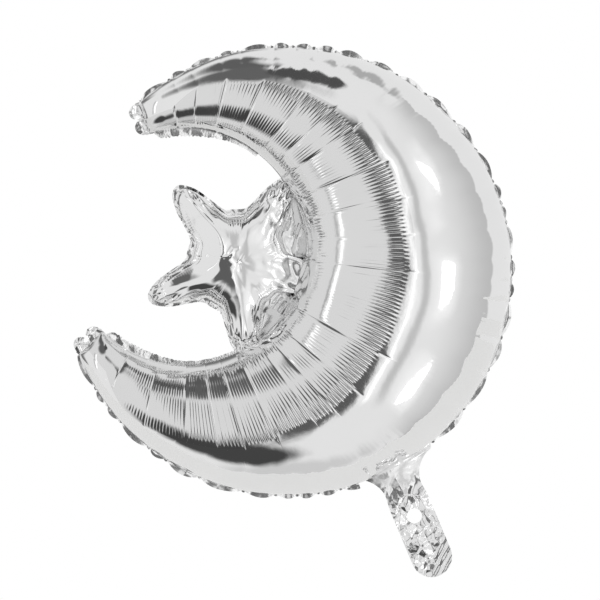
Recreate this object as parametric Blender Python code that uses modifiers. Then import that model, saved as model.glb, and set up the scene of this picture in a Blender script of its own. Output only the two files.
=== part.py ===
"""An inflated foil balloon: a crescent moon that holds a five-armed star, with a filling tail.

Metres, +Z up. The balloon lies in the XZ plane, its front faces -Y, and the origin is the
centre of the moon's outer rim. Two foil sheets, front and back, are sealed together along a
flat margin. The tail is two loose layers that fold about the throat of the neck.
"""
import math

import bmesh
import bpy
from mathutils import Vector

# Foil and seams. Real foil is 0.05 mm; the sheets are thick enough to be solids.
SHEET = 0.0012
SEAM_THICKNESS = 0.0006
SEAM_GAP = 0.0006          # from the mid-plane seam's face to the edge of a sheet
TOUCH_GAP = 0.0003
UNDER_RIM = 0.0020         # how far a seam reaches under the sheets
SEAM_WIDTH = 0.0038        # the seam's visible margin

# The moon: everything between an outer and an inner circle, open on one side.
RIM_RADIUS = 0.1680
INNER_RADIUS = 0.0885
INNER_CENTRE = (-0.0763, 0.0182)
MOON_AXIS = math.atan2(-INNER_CENTRE[1], -INNER_CENTRE[0])
CENTRE_OFFSET = math.hypot(*INNER_CENTRE)
HORN_ANGLE = math.radians(121.0)
HORN_CAP = math.radians(9.0)
SEAM_END = HORN_ANGLE - 0.5 * HORN_CAP
TIP_ANGLE = math.radians(0.8)   # what the inner seams and webs keep off the line of an arm
HORN_END_WIDTH = 0.92      # the blunt end's width, as a share of the horn's
DEPTH_AT_HORN = 0.94       # half depth over half width
DEPTH_AT_MIDDLE = 0.80
MOON_STATIONS = 30
CAP_STATIONS = 4
SECTION_STEPS = 12
CUTTER_REACH = math.radians(75.0)   # how far along the moon the star can reach, each way
CUTTER_STEPS = 24

# The crimped margin on the rim: one scallop between two pinches.
SCALLOP_ANGLE = math.radians(5.6)
SCALLOP_LOW = 0.0014
SCALLOP_HIGH = 0.0050
# Share of a scallop, share of its height.
SCALLOP_SHAPE = ((0.0, 0.0), (0.30, 0.8), (0.55, 1.0), (0.85, 0.25))

# The star, whose outline is a constant and two cosines of its angle.
STAR_CENTRE = (-0.0356, 0.0066)
STAR_TURN = math.radians(58.3)
STAR_ARMS = 5
LAST_FREE_ARM = 3          # arms 0 and 3 touch the moon's inner seam, and arm 4 opens into it
STAR_MEAN = 0.0522
STAR_WAVE = 0.0170
STAR_SHARP = 0.0047
STAR_HEIGHT = 0.0195
STAR_ARM_FALL = 0.25
STAR_LEAN = 4.0            # share of the height lost per metre towards the moon
STAR_FLAT_TOP = 2.8        # the dome is (1 - share ** flat top) ** steep edge
STAR_STEEP_EDGE = 0.34
STAR_FALL_POWER = 1.2      # how late the arms lose their height
STAR_GAP = 0.0011          # from the mid-plane seam's face to the edge of a star sheet
STAR_RINGS = 7
STAR_STEPS = 60

# The neck and the tail, along an axis that leaves the rim.
TAIL_ROOT_ANGLE = math.radians(-61.4)
TAIL_AXIS = math.radians(-67.2)
NECK_LENGTH = 0.0205
NECK_HALF = 0.0138
NECK_FLARE = 0.0175
FOLD_GAP = 0.0009
TAIL_END = 0.0878
TAIL_HALF = 0.0154
TAIL_WIDENS = 0.0120       # the length over which the neck widens to the tail
TAIL_LAYER = 0.0005
LAYER_GAP = 0.0003
HOLE_ALONG = 0.0393
HOLE_RADIUS = 0.0057
FRONT_LAYER_SHORT = 0.0070  # the mouth: the front layer ends before the back one

# The lobed margin at each horn's end.
TAB_REACH = 0.0095
TAB_PINCH = 0.0035
TAB_GAP = math.radians(0.25)
TAB_BASE_MARGIN = 0.0019   # past the horn's width, at the base and at the lobes
TAB_LOBE_MARGIN = 0.00152
# Where the points of the two lobes lie, as shares of the horn's half width.
TAB_POINTS = (1.0, 0.85, 0.5, 0.15, 0.0, -0.15, -0.5, -0.85, -1.0)

# Flat cutters and the steps of the round edges.
CUTTER_THICKNESS = 0.02
DISC_STEPS = 72
HOLE_STEPS = 24
TAIL_END_STEPS = 8
NECK_STEPS = 6
ROOT_STEPS = 8

SILVER = (0.80, 0.81, 0.83)


def start():
    """Empties the scene and makes one collection for the balloon and one for cutters."""
    for obj in list(bpy.data.objects):
        bpy.data.objects.remove(obj, do_unlink=True)
    found = []
    for name in ("foil_balloon", "cutters"):
        found.append(bpy.data.collections.new(name))
        bpy.context.scene.collection.children.link(found[-1])
    found[1].hide_render = True
    return found


def foil(name, roughness):
    """Silver metallised film."""
    material = bpy.data.materials.new(name)
    material.use_nodes = True
    shader = material.node_tree.nodes["Principled BSDF"]
    shader.inputs["Base Color"].default_value = (*SILVER, 1.0)
    shader.inputs["Metallic"].default_value = 1.0
    shader.inputs["Roughness"].default_value = roughness
    return material


BALLOON, CUTTERS = start()
SHEET_FOIL = foil("inflated_foil", 0.08)
SEAM_FOIL = foil("sealed_foil", 0.22)
TAIL_FOIL = foil("tail_foil", 0.18)


def place(name, data, material, collection=BALLOON):
    obj = bpy.data.objects.new(name, data)
    obj.data.materials.append(material)
    collection.objects.link(obj)
    if collection is CUTTERS:
        obj.hide_render = True
        obj.display_type = "WIRE"
    return obj


def polar(centre, radius, angle):
    return (centre[0] + radius * math.cos(angle), centre[1] + radius * math.sin(angle))


def arc(centre, radius, start_angle, end_angle, steps):
    """Points along an arc, ends included."""
    turn = (end_angle - start_angle) / steps
    return [polar(centre, radius, start_angle + turn * i) for i in range(steps + 1)]


def plate(name, outlines, thickness, material, middle=0.0, collection=BALLOON):
    """A flat piece in the XZ plane, middle being its place along Y. Later outlines are holes."""
    curve = bpy.data.curves.new(name, "CURVE")
    curve.dimensions = "2D"
    curve.fill_mode = "BOTH"
    curve.extrude = thickness / 2
    for outline in outlines:
        spline = curve.splines.new("POLY")
        spline.points.add(len(outline) - 1)
        for point, (x, z) in zip(spline.points, outline):
            point.co = (x, z, 0.0, 1.0)
        spline.use_cyclic_u = True
    obj = place(name, curve, material, collection)
    obj.rotation_euler = (math.pi / 2, 0.0, 0.0)
    obj.location = (0.0, middle, 0.0)
    return obj


def as_mesh(obj):
    """Turns a curve plate into a mesh with closed caps, so that a Boolean can cut it."""
    bpy.context.view_layer.update()
    graph = bpy.context.evaluated_depsgraph_get()
    mesh = bpy.data.meshes.new_from_object(obj.evaluated_get(graph))
    welded = bmesh.new()
    welded.from_mesh(mesh)
    bmesh.ops.remove_doubles(welded, verts=welded.verts, dist=1e-6)
    welded.to_mesh(mesh)
    welded.free()
    name, matrix, home = obj.name, obj.matrix_world.copy(), obj.users_collection[0]
    material = obj.data.materials[0]
    bpy.data.objects.remove(obj, do_unlink=True)
    mesh.materials.clear()
    made = place(name, mesh, material, home)
    made.matrix_world = matrix
    return made


def boolean(obj, cutter, operation):
    modifier = obj.modifiers.new(operation.lower(), "BOOLEAN")
    modifier.operation = operation
    modifier.object = cutter
    return obj


def surface(name, rows, side, centre_point=None):
    """An open sheet through rows of points, its faces turned to side (-1 front, 1 back)."""
    shape = bmesh.new()
    grid = [[shape.verts.new(p) for p in row] for row in rows]
    closed = centre_point is not None
    for low, high in zip(grid, grid[1:]):
        last = len(low) if closed else len(low) - 1
        for i in range(last):
            k = (i + 1) % len(low)
            shape.faces.new((low[i], low[k], high[k], high[i]))
    if closed:
        hub = shape.verts.new(centre_point)
        inner = grid[0]
        for i, vert in enumerate(inner):
            shape.faces.new((hub, inner[(i + 1) % len(inner)], vert))
    shape.normal_update()
    if sum(face.normal.y * face.calc_area() for face in shape.faces) * side < 0:
        bmesh.ops.reverse_faces(shape, faces=shape.faces)
    mesh = bpy.data.meshes.new(name)
    shape.to_mesh(mesh)
    shape.free()
    mesh.shade_smooth()
    return mesh


def inflated(name, rows, side, centre_point=None):
    """A sheet with its true form on the outside and its thickness inwards."""
    obj = place(name, surface(name, rows, side, centre_point), SHEET_FOIL)
    wall = obj.modifiers.new("wall", "SOLIDIFY")
    wall.thickness = SHEET
    wall.offset = -1.0
    wall.use_even_offset = True
    return obj


# The moon. Angles run from its axis, seen from the inner circle's centre.

def rim_reach(angle, radius=RIM_RADIUS):
    """From the inner circle's centre to the rim, along a ray."""
    across = CENTRE_OFFSET * math.sin(angle)
    return CENTRE_OFFSET * math.cos(angle) + math.sqrt(radius ** 2 - across ** 2)


WIDEST = rim_reach(0.0) - INNER_RADIUS


def moon_section(angle):
    """Middle radius, half width and half depth of the moon's section on a ray."""
    outer = rim_reach(angle)
    half = (outer - INNER_RADIUS) / 2
    fullness = 2 * half / WIDEST
    ratio = DEPTH_AT_HORN + (DEPTH_AT_MIDDLE - DEPTH_AT_HORN) * fullness
    into_cap = max(0.0, (abs(angle) - HORN_ANGLE + HORN_CAP) / HORN_CAP)
    close = math.sqrt(max(0.0, 1.0 - into_cap ** 2))
    width_share = HORN_END_WIDTH + (1.0 - HORN_END_WIDTH) * close
    return (outer + INNER_RADIUS) / 2, half * width_share, half * ratio * close


def moon_stations():
    """Angles of the sections: even along the moon, closer together in the rounded ends."""
    full = HORN_ANGLE - HORN_CAP
    even = [-full + 2 * full * i / MOON_STATIONS for i in range(MOON_STATIONS + 1)]
    cap = [full + HORN_CAP * math.sin(math.pi / 2 * (i + 1) / CAP_STATIONS)
           for i in range(CAP_STATIONS)]
    return [-a for a in reversed(cap)] + even + cap


def moon_point(section, angle, around, side, grow=0.0):
    """around runs from 0 on the inner seam to pi on the rim."""
    middle, half, depth = section
    radius = middle - (half + grow) * math.cos(around)
    x, z = polar(INNER_CENTRE, radius, MOON_AXIS + angle)
    return Vector((x, side * (depth + grow) * math.sin(around), z))


def moon_sheet(name, side):
    lift = Vector((0.0, side * (SEAM_THICKNESS / 2 + SEAM_GAP), 0.0))
    rows = []
    for angle in moon_stations():
        section = moon_section(angle)
        rows.append([moon_point(section, angle, math.pi * k / SECTION_STEPS, side) + lift
                     for k in range(SECTION_STEPS + 1)])
    return inflated(name, rows, side)


def moon_cutter():
    """The moon's whole body with a touch gap, along the stretch that the star reaches."""
    grow = TOUCH_GAP + SEAM_THICKNESS / 2 + SEAM_GAP
    shape = bmesh.new()
    rings = []
    for i in range(CUTTER_STEPS + 1):
        angle = -CUTTER_REACH + 2 * CUTTER_REACH * i / CUTTER_STEPS
        section = moon_section(angle)
        ring = [moon_point(section, angle, math.tau * k / CUTTER_STEPS, 1, grow)
                for k in range(CUTTER_STEPS)]
        rings.append([shape.verts.new(point) for point in ring])
    for low, high in zip(rings, rings[1:]):
        for k in range(CUTTER_STEPS):
            following = (k + 1) % CUTTER_STEPS
            shape.faces.new((low[k], low[following], high[following], high[k]))
    shape.faces.new(rings[0])
    shape.faces.new(rings[-1])
    bmesh.ops.recalc_face_normals(shape, faces=shape.faces)
    mesh = bpy.data.meshes.new("moon_body")
    shape.to_mesh(mesh)
    shape.free()
    return place("moon_body", mesh, SHEET_FOIL, CUTTERS)


# The star.

def star_radius(angle, inset=0.0):
    wave = STAR_ARMS * (angle - STAR_TURN)
    return STAR_MEAN + STAR_WAVE * math.cos(wave) + STAR_SHARP * math.cos(2 * wave) - inset


def star_angles():
    """Starts on an arm's line, so that every tip is a point of the outline."""
    return [STAR_TURN + math.tau * i / STAR_STEPS for i in range(STAR_STEPS)]


def star_outline(inset=0.0):
    return [polar(STAR_CENTRE, star_radius(angle, inset), angle) for angle in star_angles()]


def star_arm_angle(arm):
    return STAR_TURN + math.tau * arm / STAR_ARMS


def star_height(angle, share):
    """Height over the seam, share running from 0 in the middle to 1 on the seam."""
    fall = STAR_ARM_FALL * (1.0 + math.cos(STAR_ARMS * (angle - STAR_TURN)))
    lean = 1.0 - STAR_LEAN * share * star_radius(angle, SEAM_WIDTH) * math.cos(angle)
    dome = max(0.0, 1.0 - share ** STAR_FLAT_TOP) ** STAR_STEEP_EDGE
    return STAR_HEIGHT * dome * (1.0 - fall * share ** STAR_FALL_POWER) * lean


def star_sheet(name, side, moon_body):
    lift = SEAM_THICKNESS / 2 + STAR_GAP
    rows = []
    for ring in range(1, STAR_RINGS + 1):
        share = math.sin(math.pi / 2 * ring / STAR_RINGS)
        row = []
        for angle in star_angles():
            x, z = polar(STAR_CENTRE, share * star_radius(angle, SEAM_WIDTH), angle)
            row.append(Vector((x, side * (lift + star_height(angle, share)), z)))
        rows.append(row)
    top = Vector((STAR_CENTRE[0], side * (lift + STAR_HEIGHT), STAR_CENTRE[1]))
    return boolean(inflated(name, rows, side, top), moon_body, "DIFFERENCE")


def inner_disc():
    """The opening's disc, as far as the flat pieces reach under the moon's sheets."""
    last = math.tau * (DISC_STEPS - 1) / DISC_STEPS
    edge = arc(INNER_CENTRE, INNER_RADIUS + UNDER_RIM, 0.0, last, DISC_STEPS - 1)
    return as_mesh(plate("inner_disc", [edge], CUTTER_THICKNESS, SEAM_FOIL, collection=CUTTERS))


def star_cutter(name, inset):
    edge = star_outline(inset)
    return as_mesh(plate(name, [edge], CUTTER_THICKNESS, SEAM_FOIL, collection=CUTTERS))


def star_seam(disc):
    """The star's own margin, round its three free arms."""
    turns = [angle for angle in star_angles() if angle < star_arm_angle(LAST_FREE_ARM) + 1e-6]
    outer = [polar(STAR_CENTRE, star_radius(a), a) for a in turns]
    inner = [polar(STAR_CENTRE, star_radius(a, SEAM_WIDTH + UNDER_RIM), a) for a in turns]
    obj = as_mesh(plate("star_seam", [outer + inner[::-1]], SEAM_THICKNESS, SEAM_FOIL))
    return boolean(obj, disc, "INTERSECT")


def where_arm_meets_seam(arm):
    """The arm's line cuts the inner seam here, as an angle from the inner circle's centre."""
    line = Vector((math.cos(star_arm_angle(arm)), math.sin(star_arm_angle(arm))))
    offset = Vector(STAR_CENTRE) - Vector(INNER_CENTRE)
    along = offset.dot(line)
    reach = -along + math.sqrt(along ** 2 - offset.length_squared + INNER_RADIUS ** 2)
    hit = offset + line * reach
    return math.atan2(hit.y, hit.x)


def web(name, low_arm, high_arm, star_core):
    """Flat sealed foil between two of the star's arms and the moon's inner seam."""
    edge = arc(INNER_CENTRE, INNER_RADIUS + UNDER_RIM, where_arm_meets_seam(low_arm) + TIP_ANGLE,
               where_arm_meets_seam(high_arm) - TIP_ANGLE, 12)
    obj = as_mesh(plate(name, [[STAR_CENTRE] + edge], SEAM_THICKNESS, SEAM_FOIL))
    return boolean(obj, star_core, "DIFFERENCE")


def inner_seam(name, horn_side, arm, star_plate):
    """The sealed margin from a horn's end to the tip of the star's arm."""
    first = MOON_AXIS + horn_side * SEAM_END
    last = where_arm_meets_seam(arm) + horn_side * TIP_ANGLE
    outer = arc(INNER_CENTRE, INNER_RADIUS + UNDER_RIM, first, last, 16)
    inner = arc(INNER_CENTRE, INNER_RADIUS - SEAM_WIDTH, last, first, 16)
    obj = as_mesh(plate(name, [outer + inner], SEAM_THICKNESS, SEAM_FOIL))
    return boolean(obj, star_plate, "DIFFERENCE")


# The margin on the rim. Its angles are seen from the rim's centre, the origin.

def at_horn_end(side, radius):
    """A corner of the rim's margin, on the ray where a horn's tab takes over."""
    return polar(INNER_CENTRE, rim_reach(SEAM_END, radius), MOON_AXIS + side * SEAM_END)


def rim_angle_of_horn(side):
    x, z = at_horn_end(side, RIM_RADIUS)
    return math.atan2(z, x)


def rim_seam(name, first, last, horn_side):
    """A strip with scallops, from the angle first round to last, anticlockwise."""
    count = round((last - first) / SCALLOP_ANGLE)
    turn = (last - first) / count
    edge = []
    for i in range(count):
        for share, height in SCALLOP_SHAPE:
            radius = RIM_RADIUS + SCALLOP_LOW + (SCALLOP_HIGH - SCALLOP_LOW) * height
            edge.append(polar((0.0, 0.0), radius, first + turn * (i + share)))
    edge.append(polar((0.0, 0.0), RIM_RADIUS + SCALLOP_LOW, last))
    inner = arc((0.0, 0.0), RIM_RADIUS - UNDER_RIM, last, first, count)
    at_horn = -1 if horn_side > 0 else 0
    edge[at_horn] = at_horn_end(horn_side, RIM_RADIUS + SCALLOP_LOW)
    inner[-1 - at_horn] = at_horn_end(horn_side, RIM_RADIUS - UNDER_RIM)
    return plate(name, [edge + inner], SEAM_THICKNESS, SEAM_FOIL)


def tip_tab(name, side):
    """The margin round a horn's blunt end: two lobes with a pinch between them."""
    angle = side * HORN_ANGLE
    middle, half, _ = moon_section(angle)
    base = MOON_AXIS + side * (SEAM_END + TAB_GAP)
    step = TAB_REACH / middle
    points = [polar(INNER_CENTRE, middle - half - TAB_BASE_MARGIN, base),
              polar(INNER_CENTRE, middle + half + TAB_BASE_MARGIN, base)]
    for share in TAB_POINTS:
        lobe = abs(math.sin(math.pi * min(1.0, abs(share) * 1.05))) ** 0.5
        reach = (TAB_PINCH + (TAB_REACH - TAB_PINCH) * lobe) / TAB_REACH
        points.append(polar(INNER_CENTRE, middle + share * (half + TAB_LOBE_MARGIN),
                            MOON_AXIS + angle + side * step * reach))
    return plate(name, [points], SEAM_THICKNESS, SEAM_FOIL)


# The neck and the tail. Along is measured from the rim on the tail's axis, across to its right.

ROOT = polar((0.0, 0.0), RIM_RADIUS, TAIL_ROOT_ANGLE)
ALONG = (math.cos(TAIL_AXIS), math.sin(TAIL_AXIS))
ACROSS = (-ALONG[1], ALONG[0])


def on_tail(along, across):
    return (ROOT[0] + along * ALONG[0] + across * ACROSS[0],
            ROOT[1] + along * ALONG[1] + across * ACROSS[1])


def neck_root_half_angle():
    return (NECK_HALF + NECK_FLARE) / RIM_RADIUS


def neck_root():
    """The sealed foil that flares from the rim into the neck."""
    spread = neck_root_half_angle()
    edge = arc((0.0, 0.0), RIM_RADIUS - UNDER_RIM, TAIL_ROOT_ANGLE + spread,
               TAIL_ROOT_ANGLE - spread, ROOT_STEPS)
    for side in (-1, 1):
        fillet = []
        for i in range(NECK_STEPS + 1):
            share = i / NECK_STEPS
            flare = 1.0 - math.sqrt(1.0 - (1.0 - share) ** 2)
            fillet.append(on_tail(NECK_LENGTH * share,
                                  side * (NECK_HALF + NECK_FLARE * flare)))
        edge += fillet if side < 0 else list(reversed(fillet))
    return plate("neck_root", [edge], SEAM_THICKNESS, SEAM_FOIL)


def tail_layer(name, side, end, skew):
    """One layer of the tail, with a round end and the hole that goes through both."""
    begin = NECK_LENGTH + FOLD_GAP
    edge = [on_tail(begin, NECK_HALF), on_tail(begin, -NECK_HALF),
            on_tail(begin + TAIL_WIDENS, -TAIL_HALF)]
    for i in range(TAIL_END_STEPS + 1):
        turn = math.pi * i / TAIL_END_STEPS
        across = -TAIL_HALF * math.cos(turn)
        along = end - TAIL_HALF * (1.0 - math.sin(turn)) - skew * (1.0 + across / TAIL_HALF) / 2
        edge.append(on_tail(along, across))
    edge.append(on_tail(begin + TAIL_WIDENS, TAIL_HALF))
    last = math.tau * (HOLE_STEPS - 1) / HOLE_STEPS
    hole = arc(on_tail(HOLE_ALONG, 0.0), HOLE_RADIUS, 0.0, last, HOLE_STEPS - 1)
    middle = side * (LAYER_GAP + TAIL_LAYER) / 2
    return plate(name, [edge, hole], TAIL_LAYER, TAIL_FOIL, middle)


def main():
    moon_sheet("moon_front_sheet", -1)
    moon_sheet("moon_back_sheet", 1)
    moon_body = moon_cutter()
    star_sheet("star_front_sheet", -1, moon_body)
    star_sheet("star_back_sheet", 1, moon_body)
    disc = inner_disc()
    star_plate = star_cutter("star_plate", -TOUCH_GAP)
    star_core = star_cutter("star_core", SEAM_WIDTH + UNDER_RIM)
    star_seam(disc)
    web("upper_web", 4, 5, star_core)
    web("lower_web", 3, 4, star_core)
    inner_seam("inner_seam_upper", 1, 0, star_plate)
    inner_seam("inner_seam_lower", -1, 3, star_plate)
    spread = neck_root_half_angle() + TOUCH_GAP / RIM_RADIUS
    rim_seam("rim_seam_long", TAIL_ROOT_ANGLE + spread, rim_angle_of_horn(1), 1)
    rim_seam("rim_seam_short", rim_angle_of_horn(-1), TAIL_ROOT_ANGLE - spread, -1)
    tip_tab("upper_tip_tab", 1)
    tip_tab("lower_tip_tab", -1)
    neck_root()
    tail_layer("tail_front_layer", -1, TAIL_END - FRONT_LAYER_SHORT, FRONT_LAYER_SHORT)
    tail_layer("tail_back_layer", 1, TAIL_END, 0.0)


main()
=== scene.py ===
"""The looks of an inflated foil balloon: a crescent moon with a star, and its filling tail.

Metres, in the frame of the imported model: the balloon lies in the XZ plane, its front faces -Y,
and the origin is the centre of the moon's outer rim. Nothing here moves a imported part.
"""

import math

import bpy
import numpy as np
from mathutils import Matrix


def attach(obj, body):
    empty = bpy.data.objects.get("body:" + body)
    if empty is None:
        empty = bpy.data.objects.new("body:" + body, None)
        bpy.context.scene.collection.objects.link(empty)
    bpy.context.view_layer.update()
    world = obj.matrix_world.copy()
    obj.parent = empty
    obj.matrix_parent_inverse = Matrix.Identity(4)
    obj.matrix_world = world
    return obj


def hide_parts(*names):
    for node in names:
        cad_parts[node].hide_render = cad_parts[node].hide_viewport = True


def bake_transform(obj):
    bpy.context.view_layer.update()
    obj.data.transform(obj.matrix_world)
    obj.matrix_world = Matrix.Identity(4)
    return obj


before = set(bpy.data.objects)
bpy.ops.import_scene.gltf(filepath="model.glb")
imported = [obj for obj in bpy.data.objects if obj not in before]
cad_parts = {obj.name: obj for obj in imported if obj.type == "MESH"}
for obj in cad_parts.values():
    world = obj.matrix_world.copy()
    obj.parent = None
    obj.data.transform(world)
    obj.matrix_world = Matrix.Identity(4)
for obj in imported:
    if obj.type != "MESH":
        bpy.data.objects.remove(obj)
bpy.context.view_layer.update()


# Camera
# A long lens from the front, level, as the product photograph was taken. It stands so far off
# that the balloon's near side looks hardly bigger than its rim.

CAMERA_DISTANCE = 4.0
PICTURE_MIDDLE = (0.0098, -0.0218)
LENS_MM = 320.0
SENSOR_MM = 36.0

camera = bpy.data.objects.new("camera", bpy.data.cameras.new("camera"))
bpy.context.scene.collection.objects.link(camera)
camera.location = (PICTURE_MIDDLE[0], -CAMERA_DISTANCE, PICTURE_MIDDLE[1])
camera.rotation_euler = (math.pi / 2, 0.0, 0.0)
camera.data.lens = LENS_MM
camera.data.sensor_width = SENSOR_MM
bpy.context.scene.camera = camera


# The moon's front and back
# Two crescents of nylon film with aluminium evaporated on it, welded at the rims and blown up.
# The inner half bunches into pillows about 16 mm apart with fine pleats between them, and the
# outer half is tight.

RIM_RADIUS = 0.1680
INNER_RADIUS = 0.0885
INNER_CENTRE = (-0.0763, 0.0182)
MOON_AXIS = math.atan2(-INNER_CENTRE[1], -INNER_CENTRE[0])
CENTRE_OFFSET = math.hypot(*INNER_CENTRE)
# A horn ends at this angle from the moon's axis, and its rounded end takes the last of it.
HORN_ANGLE = math.radians(121.0)
HORN_CAP = math.radians(9.0)
# Half the gap between the two films at a seam.
SEAM_LIFT = 0.0002


def linear(code):
    """Turns an sRGB hex code into linear RGBA."""
    parts = [int(code[i:i + 2], 16) / 255 for i in (1, 3, 5)]
    return (*(c / 12.92 if c <= 0.04045 else ((c + 0.055) / 1.055) ** 2.4 for c in parts), 1.0)


def add(tree, kind, settings=(), **links):
    """Adds a node. settings are attributes, links are its inputs' values or source sockets."""
    node = tree.nodes.new("ShaderNode" + kind)
    for key, value in dict(settings).items():
        setattr(node, key, value)
    for name, value in links.items():
        key = name.replace("_", " ")
        numbered = key.startswith("in") and key[2:].isdigit()
        socket = node.inputs[int(key[2:]) if numbered else key]
        if isinstance(value, bpy.types.NodeSocket):
            tree.links.new(value, socket)
        else:
            socket.default_value = value
    return node


def metallised_film(name, haze, wrinkle_mm, wrinkle_depth_mm, tints=("#EFEFEF", "#F4F4F4")):
    """Aluminium evaporated on nylon film: a mirror, hazier in some clouds of it than in others.
    haze is its roughness, and the handling wrinkles are a bump of their real size."""
    cloud_mm, clearest, haziest = 40, 0.7, 1.4
    material = bpy.data.materials.new(name)
    material.use_nodes = True
    tree = material.node_tree
    shader = tree.nodes["Principled BSDF"]
    place = add(tree, "TexCoord").outputs["Object"]
    cloudy = add(tree, "TexNoise", Vector=place, Scale=1000 / cloud_mm, Detail=2.0)
    rough = add(tree, "MapRange", Value=cloudy.outputs["Fac"], From_Min=0.3, From_Max=0.7,
                To_Min=haze * clearest, To_Max=haze * haziest)
    tint = add(tree, "MixRGB", in0=cloudy.outputs["Fac"], in1=linear(tints[0]),
               in2=linear(tints[1]))
    wrinkle = add(tree, "TexNoise", Vector=place, Scale=1000 / wrinkle_mm, Detail=3.0,
                  Roughness=0.45)
    relief = add(tree, "Bump", Strength=1.0, Distance=wrinkle_depth_mm / 1000,
                 Height=wrinkle.outputs["Fac"])
    tree.links.new(tint.outputs["Color"], shader.inputs["Base Color"])
    tree.links.new(rough.outputs["Result"], shader.inputs["Roughness"])
    tree.links.new(relief.outputs["Normal"], shader.inputs["Normal"])
    shader.inputs["Metallic"].default_value = 1.0
    return material


# Blown tight: nearly a clean mirror, whose reflections swim over dents 9 mm apart.
TIGHT_FILM = metallised_film("tight_metallised_film", 0.055, 9.0, 0.05)
# Bunched: hazier, and its colour painted a tenth darker, as painted shade for the tenth of the
# light that pleats finer than the mesh take.
PLEATED_FILM_PAINTED_SHADE = metallised_film("pleated_metallised_film", 0.085, 5.0, 0.06,
                               ("#E2E2E2", "#E8E8E8"))


def normals(grid, side):
    """Unit normals of a grid of points, turned to the front (-1) or the back (1)."""
    across = np.cross(np.gradient(grid, axis=0), np.gradient(grid, axis=1))
    across /= np.linalg.norm(across, axis=2, keepdims=True) + 1e-12
    return across * (side * np.sign(across[..., 1].sum()))


def film(name, grid, side, material, second=None, choose=None, keep=None):
    """A skin of film from a grid of points, facing the front (-1) or the back (1). choose marks
    the faces of the second material, and keep marks the faces that are there at all."""
    rows, cols = grid.shape[:2]
    index = np.arange(rows * cols).reshape(rows, cols)
    quads = np.stack([index[:-1, :-1], index[:-1, 1:], index[1:, 1:], index[1:, :-1]], -1)
    flip = np.cross(np.gradient(grid, axis=1), np.gradient(grid, axis=0))[..., 1].sum() * side < 0
    quads = quads.reshape(-1, 4)[:, ::-1] if flip else quads.reshape(-1, 4)
    points = grid.reshape(-1, 3)
    if keep is not None:
        used, quads = np.unique(quads[keep.reshape(-1)], return_inverse=True)
        points, quads = points[used], quads.reshape(-1, 4)
    mesh = bpy.data.meshes.new(name)
    mesh.from_pydata(points.tolist(), [], quads.tolist())
    mesh.shade_smooth()
    mesh.materials.append(material)
    if choose is not None:
        mesh.materials.append(second)
        mesh.polygons.foreach_set("material_index", choose.reshape(-1).astype(np.int32))
    piece = bpy.data.objects.new(name, mesh)
    bpy.context.scene.collection.objects.link(piece)
    return piece


def smooth(value, low, high):
    """0 up to low, 1 from high on, and a soft step between them."""
    t = np.clip((value - low) / (high - low), 0.0, 1.0)
    return t * t * (3.0 - 2.0 * t)


def ripples(x, z, wavelength, seed):
    """A gentle, irregular waviness of about one unit, from plane waves in all directions."""
    rng = np.random.default_rng(seed)
    waves = 9
    total = 0.0
    for _ in range(waves):
        turn, phase, stretch = rng.uniform(0, 2 * np.pi, 2).tolist() + [rng.uniform(0.7, 1.5)]
        k = 2 * np.pi / (wavelength * stretch)
        total = total + np.sin(k * (x * np.cos(turn) + z * np.sin(turn)) + phase)
    return total / math.sqrt(waves)


def cells(value, edges):
    """How far across its cell a value lies (0 to 1), the cell's number and its width."""
    number = np.clip(np.searchsorted(edges, value) - 1, 0, len(edges) - 2)
    width = edges[number + 1] - edges[number]
    return np.clip((value - edges[number]) / width, 0.0, 1.0), number, width


def varied(rng, edges, number):
    """Gives a function that draws a value between two limits for each cell."""
    def draw(low, high):
        return rng.uniform(low, high, len(edges))[number]
    return draw


def uneven_angles(rng, count, least, most):
    """Angles from horn to horn, in steps of uneven shares."""
    edges = np.cumsum(rng.uniform(least, most, count))
    return ((edges - edges[0]) / (edges[-1] - edges[0]) * 2.0 - 1.0) * HORN_ANGLE


def ridge(into):
    """Across a pleat: a round ridge between sharp valleys, about its own mean height."""
    half_sine_mean = 0.64
    return np.sin(np.pi * into) - half_sine_mean


def rim_reach(angle):
    """From the inner circle's centre to the rim, along a ray at this angle to the moon's axis."""
    return CENTRE_OFFSET * np.cos(angle) + np.sqrt(RIM_RADIUS ** 2
                                                   - (CENTRE_OFFSET * np.sin(angle)) ** 2)


def moon_section(angle):
    """Middle radius, half width and half depth of the moon's section on a ray."""
    narrows_at_cap, thin_depth, full_loss = 0.08, 0.94, 0.14
    outer = rim_reach(angle)
    half = (outer - INNER_RADIUS) / 2
    fullness = 2 * half / (rim_reach(0.0) - INNER_RADIUS)
    into_cap = np.clip((np.abs(angle) - HORN_ANGLE + HORN_CAP) / HORN_CAP, 0.0, 1.0)
    close = np.sqrt(1.0 - into_cap ** 2)
    return ((outer + INNER_RADIUS) / 2, half * (1 - narrows_at_cap + narrows_at_cap * close),
            half * (thin_depth - full_loss * fullness) * close)


# Angles between the pinches of the outer margin, 16 to 31 mm at the rim, and how common each is.
PINCH_GAPS, PINCH_ODDS = (0.095, 0.155, 0.185), (0.35, 0.35, 0.30)
PINCHES = 60


def rim_pinches(seed):
    """Angles round the rim where its margin is gathered."""
    rng = np.random.default_rng(seed)
    steps = rng.choice(PINCH_GAPS, PINCHES, p=PINCH_ODDS)
    return -np.pi + np.cumsum(steps * rng.uniform(0.9, 1.1, PINCHES))


RIM_PINCHES = rim_pinches(7)

# Down a ray from the inner seam: row 0 is the seam, 1 the end of the pleats and 2 the rim. The
# rows lie closest where gathers and pleats begin and end.
ROWS = np.concatenate([np.linspace(first, last, count) for first, last, count in (
    (0, 0.20, 6), (0.23, 0.60, 17), (0.65, 0.82, 5), (0.85, 1.07, 16), (1.11, 1.8, 10),
    (1.84, 2.0, 7))])
PLEATED_ROWS = 1.02
# Pleats and gathers from horn to horn: pleats are a degree apart.
PLEATS = 233
POINTS_PER_PLEAT = 6
GATHERS = 179
QUARTER_TURN = math.radians(90.0)


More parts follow.
